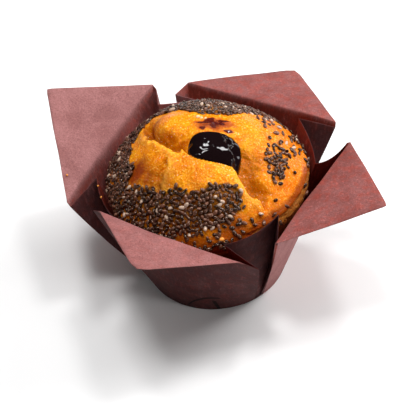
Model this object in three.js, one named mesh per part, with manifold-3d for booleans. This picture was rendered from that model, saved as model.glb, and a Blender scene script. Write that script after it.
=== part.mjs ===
// A muffin topped with small seeds and a spoon of jam, standing in a paper case
// folded from one square sheet. Millimetres, +Z up, origin in the middle of the base.
import * as THREE from 'three';
import { mergeVertices } from 'three/addons/utils/BufferGeometryUtils.js';
import Module from 'manifold-3d';

// Driving dimensions of the muffin
const RIM_RADIUS = 37.7;
const RIM_HEIGHT = 43.7;
const TOP_HEIGHT = 68.5;
const DOME_FLATNESS = 2.06;
const DOME_POINTEDNESS = 0.82;
const LIP_DROP = 5.7;
const LIP_OVERHANG = 2.8;
const SIDE_FOOT_RADIUS = 26.0;
const FOOT_HEIGHT = 0.8;
const FOOT_ROUNDING = 1.8;

// Driving dimensions of the jam, in its own outline round a centre on the dome
const JAM_CENTRE = [2.9, -9.7];
const JAM_LENGTH = 18.9;
const JAM_WIDTH = 12.5;
const JAM_TURN = -12;
const JAM_SQUARENESS = 2.4;
const JAM_RISE = 1.5;
const JAM_DEPTH = 3.2;
const JAM_TAIL = 1.8;
const JAM_TAIL_DIRECTION = -48;
const JAM_TAIL_SPREAD = 15;
const JAM_CLEARANCE = 0.35;

// Driving dimensions of the seeds, and how far the jam keeps clear of them
const SEED_LENGTH = 2.1;
const SEED_WIDTH = 1.4;
const SEED_THICKNESS = 1.1;
const SEED_SPACING = 2.45;
const SEED_COUNT = 182;
const SEED_ATTEMPTS = 40000;
const SEED_ORDER = 7;
const JAM_MARGIN = 3;

// Driving dimensions of the paper case
const PAPER_THICKNESS = 0.5;
const CASE_BASE_RADIUS = 27;
const WALL_BULGE = 1.0;
const PETAL_BOW = 1.6;
const FOLD_SPREAD = 3.2;

// Soft mounds on the dome: place in plan, reach and rise
const MOUNDS = [
  { at: [-13, 6], reach: 8, rise: 1.6 },
  { at: [-21, -9], reach: 8, rise: 1.5 },
  { at: [-4, -22], reach: 9, rise: 1.6 },
  { at: [22, -8], reach: 13, rise: 1.3 },
  { at: [-25, 12], reach: 7, rise: -1.5 },
  { at: [14, 21], reach: 12, rise: -1.1 },
];

// Cracks between the mounds: a line in plan, the reach of its slope on either side and its depth
const CRACKS = [
  { line: [[-26, 10], [-19, 2], [-12.5, -5.5], [-7, -7]], left: 4.2, right: 1.6, depth: 3.0 },
  { line: [[-13.5, -10], [-18.5, -15], [-18.5, -20]], left: 1.6, right: 3.6, depth: 2.0 },
  { line: [[10.6, -18.5], [12.6, -21.5], [15, -25], [19, -29]], left: 4.6, right: 1.5, depth: 3.0 },
];
const CRACK_SHARPNESS = 1.5;

// The dome's relief dies away over this turn, in degrees, above its widest line
const RELIEF_FADE = 25;

// The thick collar of seeds: directions in degrees and the distances from the axis at which
// it starts, and along the front those at which it ends
const COLLAR_START = [
  [35, 23], [41, 10.8], [55, 7.9], [82, 6.7], [108, 8.5], [125, 18.5], [132, 27], [194, 27.3],
  [203, 31], [214, 28.6], [240, 24.4], [287, 23], [295, 27],
];
const COLLAR_END = [[235, 38], [265, 34.6], [285, 31.4], [295, 28]];

// The patch of seeds on the right, and how thinly the seeds lie beside patch and collar
const PATCH = { at: [25.6, -9.4], reach: 6.5, share: 0.8 };
const THIN_SHARE = 0.05;
const THIN_START = 22;

const PLAN_STEPS = 48;
const DOME_STEPS = 16;
const LIP_STEPS = 3;
const SIDE_STEPS = 3;
const SLOPE_STEP = 0.5;
const JAM_STEPS = 24;
const JAM_LEVELS = 5;
const DEGREE = Math.PI / 180;

function lerp(from, to, share) {
  return from + (to - from) * share;
}

// A point given by its distance from the axis, its direction in degrees and its height
function polar([radius, direction, height]) {
  return new THREE.Vector3(
    radius * Math.cos(direction * DEGREE), radius * Math.sin(direction * DEGREE), height);
}

// The same random numbers on every run
function seededRandom(seed) {
  let state = seed;
  return () => {
    state = (state + 0x6d2b79f5) | 0;
    let mixed = Math.imul(state ^ (state >>> 15), 1 | state);
    mixed = (mixed + Math.imul(mixed ^ (mixed >>> 7), 61 | mixed)) ^ mixed;
    return ((mixed ^ (mixed >>> 14)) >>> 0) / 4294967296;
  };
}

function geometryFrom(points, triangles) {
  const geometry = new THREE.BufferGeometry();
  const positions = points.flatMap((point) => [point.x, point.y, point.z]);
  geometry.setAttribute('position', new THREE.Float32BufferAttribute(positions, 3));
  geometry.setIndex(triangles);
  return geometry;
}

// Joins rings of equal length into a skin, each ring next to the one before
function skinRings(ringCount, ringLength) {
  const triangles = [];
  for (let ring = 0; ring < ringCount - 1; ring += 1) {
    for (let step = 0; step < ringLength; step += 1) {
      const next = (step + 1) % ringLength;
      const low = ring * ringLength;
      const high = low + ringLength;
      triangles.push(low + step, low + next, high + next);
      triangles.push(low + step, high + next, high + step);
    }
  }
  return triangles;
}

// Closes a stack of rings, from the lowest to the highest, with a fan at each end
function closedStack(rings, lowEnd, highEnd) {
  const ringLength = rings[0].length;
  const points = [...rings.flat(), lowEnd, highEnd];
  const triangles = skinRings(rings.length, ringLength);
  const lastRing = (rings.length - 1) * ringLength;
  for (let step = 0; step < ringLength; step += 1) {
    const next = (step + 1) % ringLength;
    triangles.push(points.length - 2, next, step);
    triangles.push(points.length - 1, lastRing + step, lastRing + next);
  }
  return geometryFrom(points, triangles);
}

// 1 in the floor of a crack, falling to 0 over its own reach on either side
function crackShape(x, y, crack) {
  let nearest = Infinity;
  let side = 0;
  for (let index = 0; index < crack.line.length - 1; index += 1) {
    const [startX, startY] = crack.line[index];
    const [runX, runY] = [crack.line[index + 1][0] - startX, crack.line[index + 1][1] - startY];
    const [offX, offY] = [x - startX, y - startY];
    const along = (offX * runX + offY * runY) / (runX * runX + runY * runY);
    const share = THREE.MathUtils.clamp(along, 0, 1);
    const distance = Math.hypot(offX - share * runX, offY - share * runY);
    if (distance < nearest) {
      nearest = distance;
      side = runX * offY - runY * offX;
    }
  }
  const reach = side > 0 ? crack.left : crack.right;
  return Math.exp(-((nearest / reach) ** CRACK_SHARPNESS));
}

// How far the crust stands proud of the plain dome
function crustRelief(x, y) {
  let relief = 0;
  for (const mound of MOUNDS) {
    const distance = Math.hypot(x - mound.at[0], y - mound.at[1]);
    relief += mound.rise * Math.exp(-((distance / mound.reach) ** 2));
  }
  for (const crack of CRACKS) relief -= crack.depth * crackShape(x, y, crack);
  return relief;
}

// The plain dome from its top, at turn 0, to its widest line, at turn 90
function domeProfile(turn) {
  const share = Math.sin(turn * DEGREE);
  const height = (1 - share ** DOME_FLATNESS) ** DOME_POINTEDNESS;
  return [RIM_RADIUS * share, RIM_HEIGHT + (TOP_HEIGHT - RIM_HEIGHT) * height];
}

// A point of the crust, moved out from the plain dome by the relief
function crustPoint(direction, turn) {
  const [radius, height] = domeProfile(turn);
  const [radiusBefore, heightBefore] = domeProfile(Math.max(turn - SLOPE_STEP, 0));
  const [radiusAfter, heightAfter] = domeProfile(Math.min(turn + SLOPE_STEP, 90));
  const slope = Math.hypot(radiusAfter - radiusBefore, heightAfter - heightBefore);
  const outward = (heightBefore - heightAfter) / slope;
  const upward = (radiusAfter - radiusBefore) / slope;
  const [x, y] = [Math.cos(direction * DEGREE) * radius, Math.sin(direction * DEGREE) * radius];
  const fade = THREE.MathUtils.smoothstep(90 - turn, 0, RELIEF_FADE);
  const relief = crustRelief(x, y) * fade;
  return polar([radius + outward * relief, direction, height + upward * relief]);
}

// The height of the crust above a place in plan, without the jam's hollow
function crustHeight(x, y) {
  const share = Math.min(Math.hypot(x, y) / RIM_RADIUS, 1);
  return crustPoint(Math.atan2(y, x) / DEGREE, Math.asin(share) / DEGREE).z;
}

function muffinBody() {
  const rings = [];
  const lipRadius = RIM_RADIUS - LIP_OVERHANG;
  const lipHeight = RIM_HEIGHT - LIP_DROP;
  const ringAt = (radius, height) => Array.from({ length: PLAN_STEPS }, (_, step) => (
    polar([radius, (360 * step) / PLAN_STEPS, height])));
  rings.push(ringAt(SIDE_FOOT_RADIUS - FOOT_ROUNDING, FOOT_HEIGHT));
  for (let step = 0; step <= SIDE_STEPS; step += 1) {
    const share = step / SIDE_STEPS;
    const height = lerp(FOOT_HEIGHT + FOOT_ROUNDING, lipHeight, share);
    rings.push(ringAt(lerp(SIDE_FOOT_RADIUS, lipRadius, share), height));
  }
  for (let step = 1; step <= LIP_STEPS; step += 1) {
    const turn = (90 * step * DEGREE) / (LIP_STEPS + 1);
    rings.push(ringAt(lipRadius + LIP_OVERHANG * Math.sin(turn), RIM_HEIGHT - LIP_DROP * Math.cos(turn)));
  }
  for (let step = 0; step < DOME_STEPS; step += 1) {
    const turn = 90 * (1 - step / DOME_STEPS);
    rings.push(Array.from({ length: PLAN_STEPS }, (_, column) => (
      crustPoint((360 * column) / PLAN_STEPS, turn))));
  }
  return closedStack(rings, new THREE.Vector3(0, 0, FOOT_HEIGHT), crustPoint(0, 0));
}

// The jam's outline: a squarish oval with a tail that runs down towards the crack
function jamReach(angle) {
  const across = Math.abs(Math.cos(angle - JAM_TURN * DEGREE)) / (JAM_LENGTH / 2);
  const along = Math.abs(Math.sin(angle - JAM_TURN * DEGREE)) / (JAM_WIDTH / 2);
  const oval = (across ** JAM_SQUARENESS + along ** JAM_SQUARENESS) ** (-1 / JAM_SQUARENESS);
  const offTail = Math.atan2(
    Math.sin(angle - JAM_TAIL_DIRECTION * DEGREE), Math.cos(angle - JAM_TAIL_DIRECTION * DEGREE));
  return oval + JAM_TAIL * Math.exp(-((offTail / (JAM_TAIL_SPREAD * DEGREE)) ** 2));
}

// The jam, or with a clearance the hollow that it sits in
function jamSolid(clearance) {
  const point = (column, level, side) => {
    const angle = (2 * Math.PI * column) / JAM_STEPS;
    const share = Math.sin((Math.PI / 2) * (level / JAM_LEVELS));
    const reach = (jamReach(angle) + clearance) * share;
    const x = JAM_CENTRE[0] + reach * Math.cos(angle);
    const y = JAM_CENTRE[1] + reach * Math.sin(angle);
    const swell = Math.sqrt(Math.max(1 - share * share, 0));
    const rise = side > 0 ? JAM_RISE + clearance : -(JAM_DEPTH + clearance);
    return new THREE.Vector3(x, y, crustHeight(x, y) + rise * swell);
  };
  const ring = (level, side) => Array.from({ length: JAM_STEPS }, (_, column) => (
    point(column, level, side)));
  const rings = [];
  for (let level = 1; level <= JAM_LEVELS; level += 1) rings.push(ring(level, -1));
  for (let level = JAM_LEVELS - 1; level >= 1; level -= 1) rings.push(ring(level, 1));
  return closedStack(rings, point(0, 0, -1), point(0, 0, 1));
}

// A value between the listed ones, or the value beside when off either end of the list
function between(list, place, beside) {
  const after = list.findIndex(([listed]) => listed > place);
  if (after < 1) return beside;
  const [[lowPlace, low], [highPlace, high]] = [list[after - 1], list[after]];
  return lerp(low, high, (place - lowPlace) / (highPlace - lowPlace));
}

// How thickly the seeds lie: a collar round the side and back, and a patch on the right
function seedCover(x, y) {
  const direction = (Math.atan2(y, x) / DEGREE + 360) % 360;
  const radius = Math.hypot(x, y);
  const fromJam = Math.atan2(y - JAM_CENTRE[1], x - JAM_CENTRE[0]);
  const jamEdge = Math.hypot(x - JAM_CENTRE[0], y - JAM_CENTRE[1]) - jamReach(fromJam);
  if (jamEdge < JAM_MARGIN) return 0;
  const afterStart = radius > between(COLLAR_START, direction, Infinity);
  const beforeEnd = direction < COLLAR_END[0][0] || radius < between(COLLAR_END, direction, 0);
  if (afterStart && beforeEnd) return 1;
  if (Math.hypot(x - PATCH.at[0], y - PATCH.at[1]) < PATCH.reach) return PATCH.share;
  return radius > THIN_START ? THIN_SHARE : 0;
}

// Places for the seeds, none closer to another than the spacing
function seedPlaces(random) {
  const places = [];
  for (let attempt = 0; attempt < SEED_ATTEMPTS && places.length < SEED_COUNT; attempt += 1) {
    const direction = random() * 360;
    const turn = THREE.MathUtils.clamp(Math.acos(random()) / DEGREE, 1, 89);
    const centre = crustPoint(direction, turn);
    const spin = random() * 360;
    const kept = random() < seedCover(centre.x, centre.y);
    if (kept && places.every((place) => place.centre.distanceTo(centre) > SEED_SPACING)) {
      const along = crustPoint(direction, turn + 1).sub(crustPoint(direction, turn - 1)).normalize();
      const across = crustPoint(direction + 1, turn).sub(crustPoint(direction - 1, turn));
      const normal = along.clone().cross(across).normalize();
      places.push({ centre, normal, along, spin });
    }
  }
  return places;
}

// One seed, a squat oval bead half sunk in the crust
function seedGeometry(place) {
  const bead = new THREE.IcosahedronGeometry(0.5, 0);
  bead.scale(SEED_LENGTH, SEED_WIDTH, SEED_THICKNESS);
  bead.rotateZ(place.spin * DEGREE);
  const sideways = place.normal.clone().cross(place.along).normalize();
  const along = sideways.clone().cross(place.normal);
  const frame = new THREE.Matrix4().makeBasis(along, sideways, place.normal);
  frame.setPosition(place.centre);
  bead.applyMatrix4(frame);
  return bead;
}

// The petals in order round the case. Each gives its corner and the start, middle and end
// of the crease where it folds out, as distance from the axis, direction and height.
const PETALS = [
  {
    corner: [72, -32, 57.5],
    start: [48.8, -64.6, 50],
    middle: [41.4, -28.5, 49.5],
    end: [53.9, 4.9, 50],
  },
  {
    corner: [73, 57.6, 40],
    start: [52.8, 19.2, 49],
    middle: [41.6, 56.6, 48],
    end: [51.4, 94.8, 47],
  },
  {
    corner: [71, 145.5, 60],
    start: [51.8, 110.6, 50],
    middle: [42, 155, 47.4],
    end: [53.1, 188.9, 45.5],
  },
  {
    corner: [65, 244.5, 59],
    start: [44.6, 205.6, 50],
    middle: [40.6, 248, 51],
    end: [49.1, 279.4, 47],
  },
];

// The pleat after each petal: where it starts at the base, and the tops of its four folds
const PLEATS = [
  {
    foot: 16,
    outerA: [53, 6.6, 48.4],
    innerA: [40.2, 1.5, 44],
    innerB: [41.3, 29, 50],
    outerB: [52, 18, 47.6],
  },
  {
    foot: 106,
    outerA: [46.4, 102.1, 46.5],
    innerA: [40.2, 91, 47],
    innerB: [40.3, 114.4, 49.7],
    outerB: [50.2, 109.7, 48.6],
  },
  {
    foot: 196,
    outerA: [52.2, 190.4, 44.2],
    innerA: [41.2, 178.5, 48],
    innerB: [40.4, 209, 46.5],
    outerB: [45.6, 199.7, 47],
  },
  {
    foot: 301,
    outerA: [52.1, 286, 44],
    innerA: [40.2, 274.4, 48],
    innerB: [40.4, 305.4, 53.3],
    outerB: [48.4, 296.6, 48.4],
  },
];

const CREASE_STEPS = 8;
const RETURN_STEPS = 2;
const PANEL_STEPS = 4;
const PETAL_ROWS = 3;
const WALL_ROWS = [0, 0.08, 0.25, 0.5, 0.75, 1];
const BASE_RINGS = [13, 25.5];

// A petal as long as this bows up by the whole of its bow, a shorter one by less
const PETAL_LENGTH = 30;

// The crease of a petal as a gentle curve through its start, middle and end
function creasePoint(petal, share) {
  const start = polar(petal.start);
  const end = polar(petal.end);
  const sag = polar(petal.middle).sub(start.clone().add(end).multiplyScalar(0.5));
  return start.lerp(end, share).addScaledVector(sag, 4 * share * (1 - share));
}

// The columns of the sheet in order round the case: each runs from a direction on the base
// to a point on the crease or the edge, and on a petal further out to the free edge
function sheetColumns() {
  const columns = [];
  PETALS.forEach((petal, index) => {
    const pleat = PLEATS[index];
    const footBefore = PLEATS[(index + 3) % 4].foot - (index === 0 ? 360 : 0);
    const corner = polar(petal.corner);
    const start = polar(petal.start);
    const end = polar(petal.end);
    const run = end.clone().sub(start);
    const cornerShare = corner.clone().sub(start).dot(run) / run.lengthSq();
    const half = CREASE_STEPS / 2;
    for (let step = 0; step <= CREASE_STEPS; step += 1) {
      const rising = Math.min(step / half, 1);
      const falling = Math.max(step / half - 1, 0);
      const share = cornerShare * rising + (1 - cornerShare) * falling;
      const edge = start.clone().lerp(corner, rising).lerp(end, falling);
      const low = footBefore + FOLD_SPREAD * 2;
      const high = pleat.foot - FOLD_SPREAD * 2;
      columns.push({
        base: lerp(low, high, share),
        top: creasePoint(petal, share),
        edge: step > 0 && step < CREASE_STEPS ? edge : null,
      });
    }
    const outerA = polar(pleat.outerA);
    const outerB = polar(pleat.outerB);
    columns.push({ base: pleat.foot - FOLD_SPREAD, top: outerA, edge: null });
    for (let step = 1; step < RETURN_STEPS; step += 1) {
      const share = step / RETURN_STEPS;
      columns.push({
        base: pleat.foot - FOLD_SPREAD * (1 - share / 2),
        top: outerA.clone().lerp(polar(pleat.innerA), share),
        edge: null,
      });
    }
    for (let step = 0; step <= PANEL_STEPS; step += 1) {
      const share = step / PANEL_STEPS;
      const dip = 4 * share * (1 - share);
      const place = pleat.innerA.map((value, axis) => lerp(value, pleat.innerB[axis], share));
      columns.push({
        base: pleat.foot + FOLD_SPREAD * (share - 0.5),
        top: polar([place[0], place[1], place[2] - dip]),
        edge: null,
      });
    }
    for (let step = 1; step < RETURN_STEPS; step += 1) {
      const share = step / RETURN_STEPS;
      columns.push({
        base: pleat.foot + (FOLD_SPREAD * (1 + share)) / 2,
        top: polar(pleat.innerB).lerp(outerB, share),
        edge: null,
      });
    }
    columns.push({ base: pleat.foot + FOLD_SPREAD, top: outerB, edge: null });
  });
  return columns;
}

// A point of the wall on the straight line from the base to the top, eased outward
function wallPoint(column, share) {
  const foot = polar([CASE_BASE_RADIUS, column.base, PAPER_THICKNESS / 2]);
  const point = foot.lerp(column.top, share);
  const radius = Math.hypot(point.x, point.y);
  const widen = 1 + (WALL_BULGE * Math.sin(Math.PI * share)) / radius;
  return new THREE.Vector3(point.x * widen, point.y * widen, point.z);
}

// The middle surface of the folded sheet: base, wall and petals as one open mesh
function sheetSurface() {
  const columns = sheetColumns();
  const points = [new THREE.Vector3(0, 0, PAPER_THICKNESS / 2)];
  const triangles = [];
  const addRing = (makePoint) => {
    const first = points.length;
    columns.forEach((column) => points.push(makePoint(column)));
    return first;
  };
  const joinRings = (low, high) => {
    columns.forEach((_, index) => {
      const next = (index + 1) % columns.length;
      triangles.push(low + index, low + next, high + next);
      triangles.push(low + index, high + next, high + index);
    });
  };
  let below = addRing((column) => polar([BASE_RINGS[0], column.base, PAPER_THICKNESS / 2]));
  columns.forEach((_, index) => {
    triangles.push(0, below + ((index + 1) % columns.length), below + index);
  });
  const outerRing = addRing((column) => polar([BASE_RINGS[1], column.base, PAPER_THICKNESS / 2]));
  joinRings(below, outerRing);
  below = outerRing;
  for (const share of WALL_ROWS) {
    const ring = addRing((column) => wallPoint(column, share));
    joinRings(below, ring);
    below = ring;
  }
  const rowsAbove = columns.map((_, index) => [below + index]);
  columns.forEach((column, index) => {
    if (!column.edge) return;
    const out = column.edge.clone().sub(column.top);
    for (let row = 1; row <= PETAL_ROWS; row += 1) {
      const share = row / PETAL_ROWS;
      const point = column.top.clone().addScaledVector(out, share);
      point.z += PETAL_BOW * Math.sin(Math.PI * share) * (out.length() / PETAL_LENGTH);
      rowsAbove[index].push(points.length);
      points.push(point);
    }
  });
  columns.forEach((_, index) => {
    const here = rowsAbove[index];
    const there = rowsAbove[(index + 1) % columns.length];
    if (here.length === 1 && there.length === 1) return;
    for (let row = 0; row < PETAL_ROWS; row += 1) {
      if (here.length === 1) {
        triangles.push(here[0], there[row], there[row + 1]);
      } else if (there.length === 1) {
        triangles.push(here[row], there[0], here[row + 1]);
      } else {
        triangles.push(here[row], there[row], there[row + 1]);
        triangles.push(here[row], there[row + 1], here[row + 1]);
      }
    }
  });
  return { points, triangles };
}

// Gives an open surface its thickness, with a rim along its free edge
function thicken({ points, triangles }, thickness) {
  const normals = points.map(() => new THREE.Vector3());
  const edges = new Map();
  for (let index = 0; index < triangles.length; index += 3) {
    const corners = triangles.slice(index, index + 3);
    const [a, b, c] = corners.map((corner) => points[corner]);
    const facing = b.clone().sub(a).cross(c.clone().sub(a)).normalize();
    corners.forEach((corner, turn) => {
      const after = points[corners[(turn + 1) % 3]].clone().sub(points[corner]);
      const before = points[corners[(turn + 2) % 3]].clone().sub(points[corner]);
      normals[corner].addScaledVector(facing, after.angleTo(before));
      edges.set(`${corner} ${corners[(turn + 1) % 3]}`, [corner, corners[(turn + 1) % 3]]);
    });
  }
  normals.forEach((normal) => normal.normalize());
  const half = thickness / 2;
  const outside = points.map((point, index) => point.clone().addScaledVector(normals[index], half));
  const inside = points.map((point, index) => point.clone().addScaledVector(normals[index], -half));
  const shift = points.length;
  const skin = [...triangles];
  for (let index = 0; index < triangles.length; index += 3) {
    const [a, b, c] = triangles.slice(index, index + 3);
    skin.push(shift + a, shift + c, shift + b);
  }
  for (const [from, to] of edges.values()) {
    if (!edges.has(`${to} ${from}`)) {
      skin.push(to, from, shift + from);
      skin.push(to, shift + from, shift + to);
    }
  }
  return geometryFrom([...outside, ...inside], skin);
}

const wasm = await Module();
wasm.setup();

function solidFrom(geometry) {
  const bare = geometry.clone();
  bare.deleteAttribute('normal');
  bare.deleteAttribute('uv');
  const merged = mergeVertices(bare);
  return new wasm.Manifold(new wasm.Mesh({
    numProp: 3,
    vertProperties: new Float32Array(merged.attributes.position.array),
    triVerts: new Uint32Array(merged.index.array),
  }));
}

function geometryOf(solid) {
  const mesh = solid.getMesh();
  const geometry = new THREE.BufferGeometry();
  geometry.setAttribute('position', new THREE.BufferAttribute(mesh.vertProperties, 3));
  geometry.setIndex(new THREE.BufferAttribute(mesh.triVerts, 1));
  return geometry;
}

function muffinGeometry() {
  let solid = solidFrom(muffinBody()).subtract(solidFrom(jamSolid(JAM_CLEARANCE)));
  for (const place of seedPlaces(seededRandom(SEED_ORDER))) {
    solid = solid.add(solidFrom(seedGeometry(place)));
  }
  return geometryOf(solid);
}

function namedMesh(name, geometry, finish) {
  const mesh = new THREE.Mesh(geometry, new THREE.MeshStandardMaterial(finish));
  mesh.name = name;
  mesh.geometry.computeVertexNormals();
  return mesh;
}

const group = new THREE.Group();
group.add(namedMesh('muffin', muffinGeometry(), { color: 0xd9902f, roughness: 0.55, metalness: 0 }));
group.add(namedMesh('jam', jamSolid(0), { color: 0x16090b, roughness: 0.12, metalness: 0 }));
group.add(namedMesh('paper_case', thicken(sheetSurface(), PAPER_THICKNESS), {
  color: 0x7a4a48, roughness: 0.85, metalness: 0,
}));

export default group;
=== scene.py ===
import math

import bpy
import numpy as np
from mathutils import Matrix, Vector


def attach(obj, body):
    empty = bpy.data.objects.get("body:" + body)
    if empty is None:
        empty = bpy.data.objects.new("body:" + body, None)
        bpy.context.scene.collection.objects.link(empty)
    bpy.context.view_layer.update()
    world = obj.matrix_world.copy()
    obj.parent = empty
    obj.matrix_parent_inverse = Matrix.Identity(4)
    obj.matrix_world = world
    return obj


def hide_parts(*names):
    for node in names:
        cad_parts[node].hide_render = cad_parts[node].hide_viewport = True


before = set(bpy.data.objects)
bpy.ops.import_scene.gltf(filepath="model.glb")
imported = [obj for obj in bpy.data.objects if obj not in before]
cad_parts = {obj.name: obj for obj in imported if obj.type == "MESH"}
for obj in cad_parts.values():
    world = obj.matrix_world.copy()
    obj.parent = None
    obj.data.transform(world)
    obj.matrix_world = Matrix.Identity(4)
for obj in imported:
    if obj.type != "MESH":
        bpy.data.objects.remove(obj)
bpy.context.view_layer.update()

# The photo's camera: a long lens from the front and well above, turned a little about its
# own axis. Places in the picture are pixels of its 420-pixel-wide frame.
PHOTO_WIDTH = 420
SENSOR_WIDTH = 36.0
FOCAL_PIXELS = 1590
CAMERA_ELEVATION = math.radians(44.2)
CAMERA_ROLL = math.radians(5.6)
CAMERA_DISTANCE = 0.6
AIM = Vector((0, 0, 0.03))
AIM_PIXEL = (211, 203)

toward_camera = Vector((0, -math.cos(CAMERA_ELEVATION), math.sin(CAMERA_ELEVATION)))
level_right = Vector((1, 0, 0))
level_up = toward_camera.cross(level_right)
picture_right = level_right * math.cos(CAMERA_ROLL) - level_up * math.sin(CAMERA_ROLL)
picture_up = level_right * math.sin(CAMERA_ROLL) + level_up * math.cos(CAMERA_ROLL)
lens = bpy.data.cameras.new("camera")
lens.sensor_width = SENSOR_WIDTH
lens.lens = SENSOR_WIDTH * FOCAL_PIXELS / PHOTO_WIDTH
lens.shift_x = (PHOTO_WIDTH / 2 - AIM_PIXEL[0]) / PHOTO_WIDTH
lens.shift_y = (AIM_PIXEL[1] - PHOTO_WIDTH / 2) / PHOTO_WIDTH
camera = bpy.data.objects.new("camera", lens)
turned = Matrix((picture_right, picture_up, toward_camera)).transposed().to_4x4()
camera.matrix_world = Matrix.Translation(AIM + toward_camera * CAMERA_DISTANCE) @ turned
bpy.context.scene.collection.objects.link(camera)
bpy.context.scene.camera = camera
bpy.context.scene.view_settings.view_transform = "Standard"

# The paper case is one square sheet of greaseproof paper pressed into a round cup. Its four
# corners stand up as petals that fold out along a crease, and the spare paper between them is
# laid in four pleats: an outer fold on each side with a recessed panel behind it.
MM = 0.001
PAPER_THICKNESS = 0.15 * MM
PAPER_REST = 0.25 * MM
CASE_BASE_RADIUS = 27
WALL_BULGE = 1.0 * MM
BOW_SPAN = 30 * MM
FOLD_DEGREES = 3.2
PANEL_SAG = 1.0
CREASE_CROWDING = 1.4
ROLL_LIMIT = 0.7
SOAK_AND_SHADE_REACH = 1.6
CREASE_STEPS = 44
STRIP_STEPS = 3
RETURN_STEPS = 8
PANEL_STEPS = 14
WALL_STEPS = 30
PETAL_STEPS = 18
BASE_STEPS = 6


def polar(radius, direction, height):
    """A point from millimetres out from the axis, degrees round it and millimetres up."""
    angle = math.radians(direction)
    return Vector((radius * math.cos(angle), radius * math.sin(angle), height)) * MM


# All points are given as in polar. A petal's crease runs from its start through its middle to
# its end, and its soaked shares are those of the petal and of the wall below: they darken the
# paper both for fat soaked in and as painted shade. A pleat's foot is a direction in degrees.
# Blunt, roll, bow and sag are in millimetres.
PETALS = [
    {"corner": (72, -32, 57.5), "blunt": 0.8, "start": (48.8, -64.6, 50),
     "middle": (41.4, -28.5, 49.5), "end": (53.9, 4.9, 50), "roll": 0.6, "bow": 1.1,
     "soak_and_shade": (0.48, 0)},
    {"corner": (73, 57.6, 40), "blunt": 3.0, "start": (52.8, 19.2, 49),
     "middle": (41.6, 56.6, 48), "end": (51.4, 94.8, 47), "roll": 0.8, "bow": 0.9,
     "soak_and_shade": (0.43, 1)},
    {"corner": (71, 145.5, 60), "blunt": 0.8, "start": (51.8, 110.6, 50),
     "middle": (42, 155, 47.4), "end": (53.1, 188.9, 45.5), "roll": 2.0, "bow": -0.5,
     "soak_and_shade": (0, 0.55)},
    {"corner": (65, 244.5, 59), "blunt": 3.0, "start": (44.6, 205.6, 50),
     "middle": (40.6, 248, 51), "end": (49.1, 279.4, 47), "roll": 0.8, "bow": -0.3,
     "soak_and_shade": (0.18, 1)},
]
PLEATS = [
    {"foot": 16, "outer_a": (53, 6.6, 48.4), "inner_a": (40.2, 1.5, 44),
     "inner_b": (41.3, 29, 50), "outer_b": (52, 18, 47.6), "soak_and_shade": 1, "sag": 2.6},
    {"foot": 106, "outer_a": (46.4, 102.1, 46.5), "inner_a": (40.2, 91, 47),
     "inner_b": (40.3, 114.4, 49.7), "outer_b": (50.2, 109.7, 48.6), "soak_and_shade": 0.4, "sag": 0},
    {"foot": 196, "outer_a": (52.2, 190.4, 44.2), "inner_a": (41.2, 178.5, 48),
     "inner_b": (40.4, 209, 46.5), "outer_b": (45.6, 199.7, 47), "soak_and_shade": 1, "sag": 0},
    {"foot": 301, "outer_a": (52.1, 286, 44), "inner_a": (40.2, 274.4, 48),
     "inner_b": (40.4, 305.4, 53.3), "outer_b": (48.4, 296.6, 48.4), "soak_and_shade": 1, "sag": 0},
]


def arch(share):
    """0 at both ends of a run and 1 in its middle."""
    return 4 * share * (1 - share)


def ease(share):
    """The same share with a soft start and a soft end."""
    return share * share * (3 - 2 * share)


def crease_point(petal, share):
    """A point on the gentle curve through the start, middle and end of a petal's crease."""
    start, middle, end = (polar(*petal[key]) for key in ("start", "middle", "end"))
    sag = middle - (start + end) / 2
    return start.lerp(end, share) + sag * arch(share)


def petal_columns(petal, low, high):
    """Columns of the sheet that run up the wall and on to the petal's free edge."""
    corner, start, end = (polar(*petal[key]) for key in ("corner", "start", "end"))
    run = end - start
    corner_share = (corner - start).dot(run) / run.length_squared
    inward = (crease_point(petal, corner_share) - corner).normalized()
    blunt = petal["blunt"] * MM
    columns = []
    half = CREASE_STEPS / 2
    for step in range(CREASE_STEPS + 1):
        rising = min(step / half, 1)
        falling = max(step / half - 1, 0)
        share = corner_share * rising + (1 - corner_share) * falling
        edge = start.lerp(corner, rising) if step <= half else corner.lerp(end, falling)
        from_corner = (edge - corner).length
        edge = edge + inward * (0.5 * blunt * math.exp(-((from_corner / blunt) ** 2)))
        columns.append({
            "base": low + (high - low) * share,
            "top": crease_point(petal, share),
            "edge": edge if 0 < step < CREASE_STEPS else None,
            "soak_and_shade": petal["soak_and_shade"],
            "roll": petal["roll"] * MM * math.sin(math.pi * step / CREASE_STEPS),
            "bow": petal["bow"] * MM,
        })
    return columns


def fold_column(base, top, soak_and_shade):
    """A column that ends at the top of the wall, with no petal above it."""
    return {"base": base, "top": top, "edge": None, "roll": MM, "soak_and_shade": (soak_and_shade, soak_and_shade)}


def straight_columns(first, last, base_first, base_last, steps, soak_and_shade, sag=0.0):
    """Columns between two folds, without their ends, on a straight or sagging line at the top."""
    columns = []
    for step in range(1, steps):
        share = step / steps
        top = first.lerp(last, share) - Vector((0, 0, arch(share) * sag * MM))
        columns.append(fold_column(base_first + (base_last - base_first) * share, top, soak_and_shade))
    return columns


def panel_columns(pleat):
    """Columns of the recessed panel, which follows the round of the muffin."""
    columns = []
    for step in range(PANEL_STEPS + 1):
        share = step / PANEL_STEPS
        radius, direction, height = (
            low + (high - low) * share for low, high in zip(pleat["inner_a"], pleat["inner_b"]))
        top = polar(radius, direction, height - PANEL_SAG * arch(share))
        base = pleat["foot"] + FOLD_DEGREES * (share - 0.5)
        columns.append(fold_column(base, top, pleat["soak_and_shade"]))
    return columns


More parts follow.
